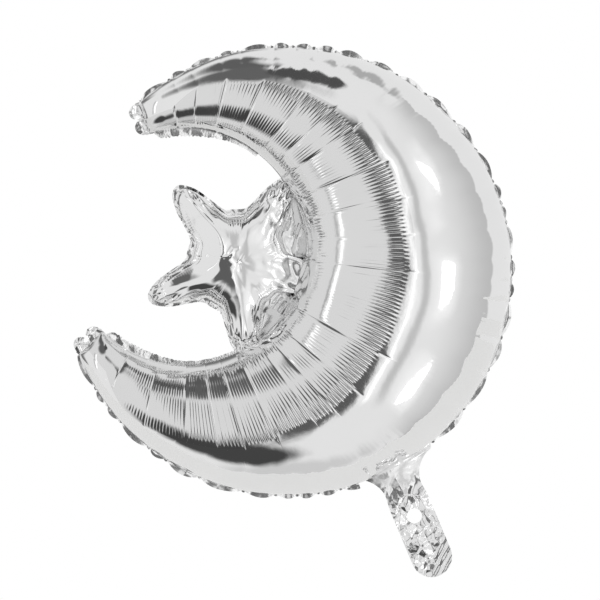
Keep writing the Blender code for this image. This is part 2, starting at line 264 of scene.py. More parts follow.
def pleats_end(angle):
    """How far round the section the pleats end. They cover half of it at the middle of the moon,
    more towards the horns, the lower one above all, and less again at the tips."""
    at_middle, up, down, power = 0.51, 0.13, 0.27, 1.8
    tip_start, tip_run, tip_loss = math.radians(92.0), math.radians(14.0), 0.22
    toward_tip = np.clip((np.abs(angle) - tip_start) / tip_run, 0, 1.2)
    share = (at_middle + np.where(angle > 0, up, down) * (np.abs(angle) / QUARTER_TURN) ** power
             - tip_loss * toward_tip ** 2)
    return np.arccos(1.0 - 2.0 * np.clip(share, 0.0, 0.8))


def pillow_folds(by_pillow, across, width, radius, row, fullness):
    """Pillows nearly flat across, each leaning its own way, with a sharp crease between them."""
    most_lift, lean, bulge_height, common_width = 0.0006, 0.0003, 0.00016, 0.14
    crease_width, crease_depth, crease_deepens = 0.0006, 0.00012, 0.00018
    flatness, last_row = 6, 1.06
    flat = 1.0 - np.abs(2 * across - 1) ** flatness
    swell = np.sin(np.pi * np.clip(row / last_row, 0, 1))
    lift = flat * (swell * by_pillow(0.0, most_lift) * fullness
                   + (across - 0.5) * by_pillow(-lean, lean) * smooth(row, 0.1, 0.5)
                   * (1 - smooth(row, 0.9, 1.05)))
    bulge = (4 * across * (1 - across)) * swell * bulge_height
    lift = lift + bulge * np.clip(width / common_width, 0.5, 2.0)
    from_crease = np.minimum(across, 1 - across) * width * radius
    run = smooth(row, 0.05, 0.2) * (1 - smooth(row, by_pillow(0.94, 1.0), by_pillow(1.02, 1.10)))
    deep = crease_depth + crease_deepens * row
    return lift - np.exp(-from_crease / crease_width) * run * deep


def comb_folds(by_pillow, by_pleat, into, width, radius, row, near_horn):
    """Fine pleats that start at uneven places and all end sharply at row 1, like a comb."""
    least_reach, reach_at_horn, steepest, slope_lost_at_horn = 0.30, 0.70, 0.50, 0.26
    # A pleat rises slowly along its reach, then steeply, and ends within two hundredths of a row.
    slow_rise, steep_rise, half_end = 0.65, 0.35, 0.010
    reach = np.clip(least_reach + reach_at_horn * near_horn ** 1.2 + by_pillow(-0.10, 0.20)
                    + by_pleat(-0.10, 0.10), 0.14, 0.96)
    last = 1.0 + by_pillow(-0.050, 0.004) + by_pleat(-0.004, 0.004)
    comb = (slow_rise * smooth(row, last - reach, last - 0.4 * reach)
            + steep_rise * smooth(row, last - by_pillow(0.10, 0.20), last - 0.08))
    comb = comb * (1.0 - smooth(row, last - half_end, last + half_end))
    slope = steepest - slope_lost_at_horn * np.clip(near_horn, 0, 1)
    slope = slope * (1 - smooth(near_horn, 0.98, 1.14))
    return ridge(into) * by_pleat(0.7, 1.2) * radius * width / np.pi * slope * comb


def gather_folds(rng, angle, radius, row, near_horn):
    """Short gathers 13 mm from the inner seam, hardest beside the star's upper web."""
    first_row, lost_at_horn, step = 0.35, 0.11, 0.03
    hard_angle, hard_spread = math.radians(33.0), math.radians(14.0)
    common, extra, soft_at_horn = 0.55, 0.45, 0.7
    gathers = uneven_angles(rng, GATHERS + 1, 0.8, 1.2)
    into, gather, width = cells(angle, gathers)
    by_gather = varied(rng, gathers, gather)
    onset = first_row - lost_at_horn * np.clip(near_horn, 0, 1) + by_gather(-0.02, 0.02)
    ends = onset + by_gather(0.06, 0.11)
    present = smooth(row, onset, onset + step) * (1.0 - smooth(row, ends - step, ends))
    hard = common + extra * np.exp(-((angle - hard_angle) / hard_spread) ** 2)
    hard = hard * (1 - soft_at_horn * smooth(near_horn, 0.6, 1.0))
    return ridge(into) * present * radius * width / np.pi * hard


# Soft folds across the tight half: both ends, width and depth.
SOFT_FOLDS = ((-0.027, 0.165, 0.012, 0.136, 0.0014, 0.00012),
              (-0.004, 0.163, 0.045, 0.136, 0.0020, 0.00016),
              (0.030, 0.158, 0.078, 0.120, 0.0030, 0.00020),
              (-0.080, -0.135, 0.020, -0.158, 0.0012, 0.00008))


def tight_waves(x, z, seed):
    """Slow waves 70 mm and 30 mm long over the whole skin, and the soft folds."""
    slow, slow_height, small, small_height = 0.070, 0.00045, 0.030, 0.00007
    uneven = (ripples(x, z, slow, seed + 1) * slow_height
              + ripples(x, z, small, seed + 2) * small_height)
    for x0, z0, x1, z1, width, sink in SOFT_FOLDS:
        line = np.array([x1 - x0, z1 - z0])
        long = np.hypot(*line)
        along = ((x - x0) * line[0] + (z - z0) * line[1]) / long ** 2
        off = ((x - x0) * line[1] - (z - z0) * line[0]) / long
        bend = np.sin(np.pi * np.clip(along, 0, 1)) ** 0.6
        uneven = uneven - sink * bend * np.exp(-(off / width) ** 2)
    return uneven


def rim_folds(x, z, fullness):
    """Beside the rim the film is drawn in at each pinch of the margin, and bulges between."""
    crease_width, crease_reach, crease_depth = 0.0016, 0.0018, 0.0012
    bulge_reach, bulge_height, common_gap, mean_bulge = 0.0060, 0.0009, 0.15, 0.6
    pinch, _, gap = cells(np.arctan2(z, x), RIM_PINCHES)
    inward = np.clip(RIM_RADIUS - np.hypot(x, z), 0, None)
    crease = np.exp(-np.minimum(pinch, 1 - pinch) * gap * RIM_RADIUS / crease_width)
    near_rim = inward / crease_reach * np.exp(1 - inward / crease_reach)
    bulge = inward / bulge_reach * np.exp(1 - inward / bulge_reach)
    bulge = bulge * bulge_height * gap / common_gap
    rim = bulge * (4 * pinch * (1 - pinch) - mean_bulge) - near_rim * crease_depth * crease
    return rim * np.clip(1.2 * fullness, 0.2, 1.0) ** 2


def moon_film(name, side, seed, creases):
    """One skin of the moon: a smooth crescent, then moved along its normals by all its folds."""
    streak_length, streak_depth, faint_depth = 0.0035, 0.00016, 0.000022
    streak_spread = 0.012
    rng = np.random.default_rng(seed)
    pleats = uneven_angles(rng, PLEATS + 1, 0.85, 1.15)
    inside = np.arange(POINTS_PER_PLEAT) / POINTS_PER_PLEAT
    angle = (pleats[:-1, None] + np.diff(pleats)[:, None] * inside).reshape(-1)
    angle = np.append(angle, pleats[-1])
    middle, half, depth = moon_section(angle)
    end = pleats_end(angle)
    down = ROWS[:, None]
    turn = np.where(down <= 1.0, down * end, end + (down - 1.0) * (np.pi - end))
    radius = middle - half * np.cos(turn)
    where = MOON_AXIS + angle
    grid = np.stack([INNER_CENTRE[0] + radius * np.cos(where),
                     side * (depth * np.sin(turn) + SEAM_LIFT),
                     INNER_CENTRE[1] + radius * np.sin(where)], -1)
    x, z = grid[..., 0], grid[..., 2]
    row = down + 0 * angle
    fullness = half / half.max()
    near_horn = np.abs(angle) / QUARTER_TURN
    # The inner half: pillows, the comb of pleats on them, and gathers beside the seam.
    crease_angles = np.radians(creases)
    across, pillow, width = cells(angle, crease_angles)
    by_pillow = varied(rng, crease_angles, pillow)
    folds = pillow_folds(by_pillow, across, width, radius, row, fullness)
    into, pleat, width = cells(angle, pleats)
    by_pleat = varied(rng, pleats, pleat)
    folds = folds + (comb_folds(by_pillow, by_pleat, into, width, radius, row, near_horn)
                     + gather_folds(rng, angle, radius, row, near_horn))
    # Streaks at the top of the smooth wall, and faint pleats in the tight half.
    wall = smooth(row, 0.20, 0.28) * (1.0 - smooth(row, 0.34, 0.44))
    streaks = ripples(angle * streak_spread, depth * np.sin(turn), streak_length, seed + 4)
    folds = folds + streaks * streak_depth * wall
    faint = np.sin(2 * np.pi * into) * faint_depth * smooth(row, 1.3, 1.5)
    folds = folds + faint * fullness ** 2
    folds = folds + tight_waves(x, z, seed) + rim_folds(x, z, fullness)
    # Every fold fades out at both seams.
    fade = smooth(row, 0.0, 0.06) * (1.0 - smooth(row, 1.90, 2.0))
    grid = grid + normals(grid, side) * (folds * fade)[..., None]
    # The pleated rows take the film whose darker colour is painted shade.
    choose = np.broadcast_to(down[:-1] < PLEATED_ROWS, (len(ROWS) - 1, len(angle) - 1))
    return film(name, grid, side, TIGHT_FILM, PLEATED_FILM_PAINTED_SHADE, choose)


# The creases between pillows, in degrees from the moon's axis.
FRONT_CREASES = (-122, -104, -89.4, -76, -67, -59.6, -50.6, -39.6, -33.9, -26.4, -15.2, 7.0, 16.3,
                 25.9, 36, 48, 56, 64.3, 77.5, 89.2, 99, 107.3, 122)
BACK_CREASES = (-122, -108, -95, -84, -73, -60, -51, -38, -30, -12, -3, 8, 24, 33, 45, 53, 67, 75,
                86, 98, 110, 122)
for name, side, seed, creases in (("moon_front", -1, 11, FRONT_CREASES),
                                  ("moon_back", 1, 23, BACK_CREASES)):
    piece = moon_film(name + "_film", side, seed, creases)
    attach(piece, "envelope")
    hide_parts(name + "_sheet")


# The margin on the outer rim
# The two films are welded flat outside the rim. Blowing the balloon up gathers this margin into
# lens-shaped lobes with a pinch between them, each lobe tilted and crushed its own way.

# Welded and gathered: a dull mirror with soft wrinkles, so each lobe is a dark or a pale fleck.
RIM_FILM = metallised_film("gathered_rim_film", 0.16, 3.0, 0.05)
TAIL_ROOT_ANGLE = math.radians(-61.4)
# The margin stops at this angle to each side of the neck's middle.
NECK_ANGLE = 0.17
# The margin starts inside the rim, under the film, and is this wide at least.
RIM_TUCK = 0.0012
LEAST_MARGIN = 0.0004
LOBE_WIDTH = 0.0038
# A short lobe follows each pinch, and a lobe of the second angle or more has its full width.
SHORT_LOBE = 0.022
FULL_LOBE = 0.09


def crumple(x, z, cell, seed):
    """Flat facets with sharp folds between them, about a unit high, as in crushed foil."""
    rng = np.random.default_rng(seed)
    spread = max(np.ptp(x), np.ptp(z)) / 2 + 2 * cell
    count = int((2 * spread / cell) ** 2)
    total = 0.0
    for sign in (1.0, -1.0):
        cx = (x.min() + x.max()) / 2 + rng.uniform(-spread, spread, count)
        cz = (z.min() + z.max()) / 2 + rng.uniform(-spread, spread, count)
        best = np.full(x.shape, -np.inf)
        for a, b in zip(cx, cz):
            near = 2 * (a * x + b * z) - a * a - b * b
            best = np.maximum(best, near)
        total = total + sign * best
    return total / cell ** 2


def rim_margin(name, first, last, seed):
    """The margin between two angles round the rim."""
    column_step, facet, crush = 0.00062, 0.0070, 0.0003
    rng = np.random.default_rng(seed)
    turn = np.arange(first, last, column_step / RIM_RADIUS)
    lobes = np.sort(np.concatenate([RIM_PINCHES, RIM_PINCHES + SHORT_LOBE]))
    into, lobe, width = cells(turn, lobes)
    by_lobe = varied(rng, lobes, lobe)
    tall = by_lobe(0.7, 1.0) * np.clip(width / FULL_LOBE, 0.3, 1.0)
    lens = np.sin(np.pi * into ** by_lobe(0.7, 1.5)) ** 0.7
    share = np.linspace(0, 1, 9)[:, None]
    radius = RIM_RADIUS - RIM_TUCK + share * (RIM_TUCK + LEAST_MARGIN + LOBE_WIDTH * tall * lens)
    x, z = radius * np.cos(turn), radius * np.sin(turn)
    # Each lobe leans a little its own way, and is crushed and bent once.
    middle = lobes[lobe] + width / 2
    lean = (x - RIM_RADIUS * np.cos(middle)) * by_lobe(-0.12, -0.03)
    lean = lean + (z - RIM_RADIUS * np.sin(middle)) * by_lobe(-0.07, 0.07)
    crushed = crumple(x, z, facet, seed) * crush
    bend = np.abs(share - by_lobe(0.3, 0.7)) * by_lobe(-0.0003, 0.0006)
    y = smooth(share, 0.0, 0.3) * lens * (lean + crushed + bend)
    return film(name, np.stack([x, y, z], -1), -1, RIM_FILM)


def horn_end(side):
    """The angle round the rim at which the upper (1) or lower (-1) horn ends."""
    x = INNER_CENTRE[0] + rim_reach(HORN_ANGLE) * math.cos(MOON_AXIS + side * HORN_ANGLE)
    z = INNER_CENTRE[1] + rim_reach(HORN_ANGLE) * math.sin(MOON_AXIS + side * HORN_ANGLE)
    return math.atan2(z, x)


for word, first, last, seed in (("long", TAIL_ROOT_ANGLE + NECK_ANGLE, horn_end(1), 31),
                                ("short", horn_end(-1), TAIL_ROOT_ANGLE - NECK_ANGLE, 32)):
    piece = rim_margin("rim_margin_" + word, first, last, seed)
    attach(piece, "envelope")
    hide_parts("rim_seam_" + word)


# The margin on the inner rim
# The same two welded films, along the inside of the crescent. Here the margin is crumpled and
# wide beside each horn, and drawn thin where the star's arm meets it.

# Welded and crushed: a dull mirror broken into wrinkles 1.6 mm apart, so it glitters in flecks.
SEALED_FILM = metallised_film("heat_sealed_film", 0.16, 1.6, 0.08)
INNER_MARGIN_START = math.radians(118.5)
INNER_MARGIN_WIDTH = 0.0054
INNER_MARGIN_THINS = 0.0028
INNER_TUCK = 0.0010


def inner_margin(name, side, last, seed):
    """The margin from the upper (1) or lower (-1) horn to this angle from the moon's axis."""
    facet, crush, crush_lost, rise = 0.0080, 0.0008, 0.8, 0.09
    ragged, ragged_length, ragged_seed = 0.07, 0.04, 5
    turn = np.linspace(INNER_MARGIN_START, last, 420)
    gone = turn[0] - turn
    width = INNER_MARGIN_WIDTH - INNER_MARGIN_THINS * smooth(gone, 0.30, 0.8)
    width = width * smooth(gone, -0.02, 0.05)
    width = width * (1 + ragged * ripples(turn, turn, ragged_length, ragged_seed))
    share = np.linspace(0, 1, 10)[:, None]
    radius = INNER_RADIUS + INNER_TUCK - share * (width + INNER_TUCK)
    where = MOON_AXIS + side * turn
    x = INNER_CENTRE[0] + radius * np.cos(where)
    z = INNER_CENTRE[1] + radius * np.sin(where)
    crushed = crumple(x, z, facet, seed) * (crush * (1 - crush_lost * smooth(gone, 0.2, 0.7)))
    y = share * (crushed + (x - x[0]) * rise)
    return film(name, np.stack([x, y, z], -1), -1, SEALED_FILM)


# Each margin's horn, the angle from the moon's axis at which it ends, and its seed.
for word, side, last, seed in (("upper", 1, 1.14, 41), ("lower", -1, 0.80, 42)):
    piece = inner_margin("inner_margin_" + word, side, last, seed)
    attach(piece, "envelope")
    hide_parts("inner_seam_" + word)


# The tabs at the horns' ends
# The welded margin goes on round each horn's blunt end. It is two crushed round lobes there,
# with a deep pinch between them.

TAB_LEAST = 0.0028
TAB_LOBE = 0.0068
TAB_SIDE_MARGIN = 0.0012


def tip_tab(name, side, seed):
    """The two lobes at the upper (1) or lower (-1) horn."""
    facet, crush, pinch = 0.0062, 0.0024, 1.06
    across = np.linspace(-1, 1, 121)
    share = np.linspace(0, 1, 22)[:, None]
    middle, half, _ = moon_section(HORN_ANGLE)
    lobe = np.abs(np.sin(np.pi * np.minimum(1.0, np.abs(across) * pinch))) ** 0.45
    reach = (TAB_LEAST + TAB_LOBE * lobe) / middle
    radius = middle + across * (half + TAB_SIDE_MARGIN) + 0 * share
    base = HORN_ANGLE - HORN_CAP * 0.5
    where = MOON_AXIS + side * (base + share * (HORN_ANGLE + reach - base))
    x = INNER_CENTRE[0] + radius * np.cos(where)
    z = INNER_CENTRE[1] + radius * np.sin(where)
    y = crumple(x, z, facet, seed) * crush * smooth(share, 0.2, 0.7)
    return film(name, np.stack([x, y, z], -1), -1, SEALED_FILM)


for word, side, seed in (("upper", 1, 51), ("lower", -1, 52)):
    piece = tip_tab(word + "_tip_lobes", side, seed)
    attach(piece, "envelope")
    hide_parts(word + "_tip_tab")


# The star
# A five-armed pillow of the same film, blown up inside its welded seam. Its left side is drawn
# tight into flat faces up to a crease, and its right side, which joins the moon, is slack.

# Slack and softly crushed: a dull mirror, whose reflections break up into grey mottling.
SLACK_FILM = metallised_film("slack_web_film", 0.16, 2.4, 0.07)
STAR_CENTRE = (-0.0356, 0.0066)
STAR_TURN = math.radians(58.3)
ARM_STEP = 2 * np.pi / 5
# The outline is a mean radius with a wave for the arms and a second one for their points.
STAR_RADIUS, STAR_ARMS, STAR_POINTS = 0.0522, 0.0170, 0.0047
STAR_SEAM = 0.0038
STAR_HEIGHT = 0.0185
STAR_FLATNESS = 0.95
# How high the star's edge stands where a web goes on from it.
WEB_HEIGHT = 0.0075
# A handling fold near the middle, and a crease up one arm, beside and above the star's centre.
STAR_FOLD = ((-0.0230, 0.0043), (-0.0125, 0.0030), (-0.0080, 0.0045), (-0.0040, 0.0095),
             (0.0010, 0.0110))
ARM_CREASE = ((-0.0400, 0.0500), (-0.0197, 0.0289))


def star_radius(angle):
    """The outer edge of the star's margin."""
    wave = 5 * (angle - STAR_TURN)
    return STAR_RADIUS + STAR_ARMS * np.cos(wave) + STAR_POINTS * np.cos(2 * wave)


def turned_from(angle, other):
    """The angle from the other one, from half a turn back to half a turn on."""
    return (angle - other + np.pi) % (2 * np.pi) - np.pi


def membrane(angle, share):
    """The height over the seam, 1 in the middle and 0 on the seam: the shape of a skin stretched
    over the outline and blown up, summed from harmonics with the star's own five sides."""
    unit, harmonics, samples = 0.07, 6, 720
    turns = np.linspace(0, 2 * np.pi, samples, endpoint=False)

    def terms(radius, at):
        return np.stack([(radius / unit) ** (5 * k) * np.cos(5 * k * (at - STAR_TURN))
                         for k in range(harmonics)], -1)

    rim = star_radius(turns) - STAR_SEAM
    weights = np.linalg.lstsq(terms(rim, turns), (rim / unit) ** 2, rcond=None)[0]

    def swell(radius, at):
        return terms(radius, at) @ weights - (radius / unit) ** 2

    # The little that the sum leaves at the edge is taken off, nearly all of it close by.
    edge = star_radius(angle) - STAR_SEAM
    raised = swell(share * edge, angle) - swell(edge, angle) * share ** 8
    return np.sqrt(np.clip(raised, 0, None) / weights[0])


def from_line(x, z, points):
    """Distance from a line of straight stretches."""
    best = np.full(x.shape, np.inf)
    for (x0, z0), (x1, z1) in zip(points, points[1:]):
        along = ((x - x0) * (x1 - x0) + (z - z0) * (z1 - z0)) / ((x1 - x0) ** 2 + (z1 - z0) ** 2)
        along = np.clip(along, 0, 1)
        best = np.minimum(best, np.hypot(x - x0 - along * (x1 - x0), z - z0 - along * (z1 - z0)))
    return best


def web_side(turn):
    """1 where webs join the star to the moon, from arm 3 round to arm 0, and 0 at its free arms."""
    into = (turn - STAR_TURN - 3 * ARM_STEP) % (2 * np.pi) / (2 * ARM_STEP)
    return smooth(into, 0.03, 0.26) * (1 - smooth(into, 0.74, 0.97))


def star_height(turn, share, x, z, joined):
    """A dome, fuller towards the free arms, and cut by flat faces that rise from the left seam."""
    more_flat, sink, sink_spread, lean, left_tilt = 0.40, 0.40, 0.60, 5.0, 0.10
    face_foot, face_slope, sharp, dull = 0.0025, 0.80, 0.0006, 0.0030
    aside, above = x - STAR_CENTRE[0], z - STAR_CENTRE[1]
    dome = membrane(turn, share) ** (STAR_FLATNESS + more_flat * joined)
    into_moon = turned_from(turn, STAR_TURN + 4 * ARM_STEP)
    dome = dome * (1 - sink * share ** 3 * np.exp(-(into_moon / sink_spread) ** 2))
    dome = STAR_HEIGHT * dome * (1 - lean * aside) + WEB_HEIGHT * joined * share ** 2
    dome = dome - left_tilt * np.minimum(aside, 0) * smooth(above, -0.004, 0.008)
    left = (turn > STAR_TURN + ARM_STEP) & (turn < STAR_TURN + 2 * ARM_STEP)
    rim = np.stack([x[-1, left][::3], z[-1, left][::3]], -1)
    away = np.stack([np.hypot(x - a, z - b) for a, b in rim]).min(axis=0)
    face = face_foot * smooth(1 - share, 0.0, 0.06) + away * face_slope
    # The lower of dome and face, with the edge between them blunted, more so below the centre.
    blunt = sharp + dull * smooth(-above, 0.0, 0.008)
    mix = np.clip(0.5 + 0.5 * (dome - face) / blunt, 0, 1)
    return np.maximum(dome + (face - dome) * mix - blunt * mix * (1 - mix), 0)


def seam_pleats(rng, share, x, z, radius, edge, notch):
    """Short pleats from the seam inwards, 1.8 to 3 mm apart, longest in the notches."""
    draws, least_gap, most_gap = 500, 0.0018, 0.0030
    length_at_arm, more_length, slope_at_arm, more_slope = 0.12, 0.30, 0.10, 0.38
    seam = np.concatenate([[0], np.cumsum(np.hypot(np.diff(x[-1]), np.diff(z[-1])))])
    pleats = np.cumsum(rng.uniform(least_gap, most_gap, draws))
    into, pleat, width = cells(seam, np.append(0.0, pleats[pleats < seam[-1]]))
    by_pleat = varied(rng, pleats, pleat)
    length = (length_at_arm + more_length * notch) * by_pleat(0.6, 1.3)
    strength = smooth(share, 1 - length, 1 - 0.3 * length) * (1 - smooth(share, 0.975, 1.0))
    pitch = width * radius / edge / np.pi
    slope = slope_at_arm + more_slope * notch
    return ridge(into) * strength * pitch * slope * by_pleat(0.4, 1.2)


def seam_fold(share, x, z, edge, notch, seed):
    """A fold that runs along the seam, 6 mm in, and fades in and out."""
    inset, wander, wander_length = 0.0058, 0.0010, 0.05
    width, depth, fade, fade_length = 0.0007, 0.00045, 0.5, 0.04
    inward = (1 - share) * edge * (0.62 + 0.38 * notch)
    track = inset + wander * ripples(x, z, wander_length, seed + 3)
    fold = -np.exp(-np.abs(inward - track) / width) * depth
    return fold * np.clip(1.0 + fade * ripples(x, z, fade_length, seed + 5), 0.4, 1.4)


def notch_creases(rng, turn, share, radius):
    """A soft valley from each notch towards the middle, with three sharp creases beside it."""
    depth, valley_depth, valley_width, crease_width = 0.0004, 0.9, 0.0075, 0.0008
    creases = 0.0
    for arm in range(5):
        middle = STAR_TURN + (arm + 0.5) * ARM_STEP + rng.uniform(-0.08, 0.08)
        off = turned_from(turn, middle) * radius
        valley = smooth(share, 0.30, 0.7) * (1 - smooth(share, 0.75, 1)) * rng.uniform(0.6, 1.3)
        creases = creases - valley * valley_depth * np.exp(-(off / valley_width) ** 2)
        for _ in range(3):
            off = np.abs(turned_from(turn, middle + rng.uniform(-0.28, 0.28))) * radius
            run = smooth(share, rng.uniform(0.50, 0.70), 0.8) * (1 - smooth(share, 0.9, 1))
            creases = creases - rng.uniform(0.2, 0.7) * run * np.exp(-off / crease_width)
    return creases * depth


def star_film(name, side, seed):
    """One skin of the star, in rings round its centre."""
    wave, wave_height, facet, facet_height = 0.026, 0.00020, 0.024, 0.0005
    fold_width, fold_depth, arm_width, arm_depth = 0.0014, 0.0006, 0.0008, 0.00035
    crush_wave, crush_wave_height, crush_facet, crush_facet_height = 0.013, 0.0004, 0.0075, 0.0003
    slack_from, slack_to, spokes, rings = 0.013, 0.026, 1001, 70
    rng = np.random.default_rng(seed)
    turn = np.linspace(0, 2 * np.pi, spokes)
    share = np.sin(np.linspace(0.02, 1, rings) * np.pi / 2)[:, None]
    edge = star_radius(turn) - STAR_SEAM
    radius = share * edge
    x = STAR_CENTRE[0] + radius * np.cos(turn)
    z = STAR_CENTRE[1] + radius * np.sin(turn)
    aside, above = x - STAR_CENTRE[0], z - STAR_CENTRE[1]
    joined = web_side(turn) * smooth(share, 0.30, 0.95)
    height = star_height(turn, share, x, z, joined)
    grid = np.stack([x, side * (SEAM_LIFT + height), z], -1)
    notch = smooth(0.5 - 0.5 * np.cos(5 * (turn - STAR_TURN)), 0.35, 0.95)
    folds = seam_pleats(rng, share, x, z, radius, edge, notch)
    folds = folds + notch_creases(rng, turn, share, radius)
    # Slow waves and wide facets, with the handling fold and the arm's crease in them.
    slack = ripples(x, z, wave, seed) * wave_height + crumple(x, z, facet, seed) * facet_height
    fold_depth = fold_depth * smooth(-aside, -0.002, 0.008)
    slack = slack - fold_depth * np.exp(-(from_line(aside, above, STAR_FOLD) / fold_width) ** 2)
    slack = slack - arm_depth * np.exp(-(from_line(aside, above, ARM_CREASE) / arm_width) ** 2)
    still = smooth(1 - share, 0.0, 0.16)
    folds = folds + (slack + seam_fold(share, x, z, edge, notch, seed)) * still
    folds = folds * smooth(share, 0.03, 0.12) * (1 - 0.6 * joined)
    # Softly crushed film on the side that joins the moon, as on the webs.
    crushed = (ripples(x, z, crush_wave, seed + 7) * crush_wave_height
               + crumple(x, z, crush_facet, seed + 8) * crush_facet_height)
    slackness = smooth(aside, slack_from, slack_to)
    folds = folds + slackness * crushed * smooth(1 - share, 0.0, 0.10)
    grid = grid + normals(grid, side) * folds[..., None]
    return film(name, grid, side, TIGHT_FILM, SLACK_FILM, (slackness > 0.3)[:-1, :-1])


for name, side, seed in (("star_front", -1, 61), ("star_back", 1, 62)):
    piece = star_film(name + "_film", side, seed)
    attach(piece, "envelope")
    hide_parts(name + "_sheet")


# The webs
# In each of the two notches that face the moon, the films run on from the star to the moon's
# inner rim. They are slack there, and the pull of the star's arm draws them into long wrinkles.

# The web reaches a little under the star's edge and a little past the moon's seam.
WEB_TUCK = 0.0008
WEB_OVERLAP = 0.0006
WEB_END_ANGLE = 0.03
WEB_PUFF = 0.0016
WRINKLES, WRINKLE_GAP, WRINKLE_WIDTH, WRINKLE_DEPTH = 7, 0.0019, 0.0008, 0.0009


def web_film(name, low_arm, high_arm, side, seed, streak_turn, streaks_at):
    """One skin of the web between two arms: a pocket of slack film that goes on from the star's
    low edge down to the moon's wall, with wrinkles along streak_turn round streaks_at."""
    wave, wave_height, ripple, ripple_height = 0.016, 0.0005, 0.007, 0.00012
    rng = np.random.default_rng(seed)
    turn = np.linspace(STAR_TURN + low_arm * ARM_STEP + WEB_END_ANGLE,
                       STAR_TURN + high_arm * ARM_STEP - WEB_END_ANGLE, 240)
    near = star_radius(turn) - STAR_SEAM - WEB_TUCK
    line = np.stack([np.cos(turn), np.sin(turn)])
    offset = np.array(STAR_CENTRE) - np.array(INNER_CENTRE)
    along = offset @ line
    far = -along + np.sqrt(along ** 2 - offset @ offset + (INNER_RADIUS + WEB_OVERLAP) ** 2)
    share = np.linspace(0, 1, 90)[:, None]
    radius = near + share * np.maximum(far - near, 0.0)
    x = STAR_CENTRE[0] + radius * np.cos(turn)
    z = STAR_CENTRE[1] + radius * np.sin(turn)
    across = (turn - turn[0]) / np.ptp(turn)
    full = np.sin(np.pi * share ** 0.8) * np.sin(np.pi * across) ** 0.5
    raised = (1 - share) * WEB_HEIGHT * web_side(turn) + full * WEB_PUFF
    pull = np.array([math.cos(streak_turn), math.sin(streak_turn)])
    beside = np.array([-pull[1], pull[0]])
    wrinkles = 0.0
    for step in range(WRINKLES):
        middle = np.array(streaks_at) + rng.uniform(-0.0025, 0.0025, 2)
        middle = middle + (step - WRINKLES // 2) * WRINKLE_GAP * beside
        reach = rng.uniform(0.0022, 0.0050) * pull
        off = from_line(x, z, (tuple(middle - reach), tuple(middle + reach)))
        wrinkles = wrinkles - np.exp(-(off / WRINKLE_WIDTH) ** 2) * WRINKLE_DEPTH
    soft = (ripples(x, z, wave, seed + 1) * wave_height
            + ripples(x, z, ripple, seed + 2) * ripple_height)
    y = raised + full * soft + smooth(share, 0, 0.1) * wrinkles
    return film(name, np.stack([x, side * (SEAM_LIFT + y), z], -1), side, SLACK_FILM)


# Each web's node, its two arms, seed, and the direction and place of its wrinkles.
WEBS = (("upper_web", 4, 5, 81, math.radians(68.0), (0.0035, 0.0330)),
        ("lower_web", 3, 4, 83, math.radians(50.0), (-0.0035, -0.0270)))
for node, low_arm, high_arm, seed, streak_turn, streaks_at in WEBS:
    for word, side, own_seed in (("_front_film", -1, seed), ("_back_film", 1, seed - 1)):
        piece = web_film(node + word, low_arm, high_arm, side, own_seed, streak_turn, streaks_at)
        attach(piece, "envelope")
        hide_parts(node)


# The star's margin
# Round the star's free arms the two films are welded flat, in a border about 4 mm wide. Blowing
# the star up pulls the border in and leaves it crinkled.

# The margin goes this far, in radians, past the arms that touch the moon.
STAR_MARGIN_MORE = 0.06
STAR_MARGIN_TUCK = 0.0006


def star_margin(name, seed):
    """The border from arm 0 round to arm 3."""
    facet, crush, rise, ragged, ragged_length = 0.0070, 0.0012, 0.06, 0.05, 0.006
    turn = np.linspace(STAR_TURN - STAR_MARGIN_MORE, STAR_TURN + 3 * ARM_STEP + STAR_MARGIN_MORE,
                       700)
    share = np.linspace(0, 1, 10)[:, None]
    width = STAR_SEAM * (1 + ragged * ripples(turn * 0.05, 0 * turn, ragged_length, seed + 1))
    radius = star_radius(turn) - STAR_SEAM - STAR_MARGIN_TUCK + share * (width + STAR_MARGIN_TUCK)
    x = STAR_CENTRE[0] + radius * np.cos(turn)
    z = STAR_CENTRE[1] + radius * np.sin(turn)
    y = share * (crumple(x, z, facet, seed) * crush + (x - x[0]) * rise)
    return film(name, np.stack([x, y, z], -1), -1, SEALED_FILM)


margin = star_margin("star_margin", 71)
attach(margin, "envelope")
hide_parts("star_seam")


# The neck and the tail
# The two films run on past the rim as a filling neck, flattened once the balloon is full and
# crushed by handling. Both are punched through for a ribbon, and the front one is torn off
# shorter, so the back one shows beside it.

# Loose and crumpled: the dullest of these mirrors, in flat facets that flash light and dark.
LOOSE_FILM = metallised_film("loose_tail_film", 0.17, 3.0, 0.10)
TAIL_ROOT = RIM_RADIUS * np.array([math.cos(TAIL_ROOT_ANGLE), math.sin(TAIL_ROOT_ANGLE)])
TAIL_AXIS = math.radians(-67.2)
ALONG = np.array([math.cos(TAIL_AXIS), math.sin(TAIL_AXIS)])
ACROSS = np.array([-ALONG[1], ALONG[0]])
# Distances along the tail, from the rim: under the rim, the neck's end, the tear, and the end.
TAIL_START, NECK_LENGTH, TEAR_START, TAIL_END = -0.004, 0.0205, 0.060, 0.0878
NECK_HALF, TAIL_HALF, FLARE_LENGTH, FLARE_HALF = 0.0142, 0.0154, 0.0190, 0.0175
HOLE_ALONG, HOLE_RADIUS = 0.0393, 0.0057


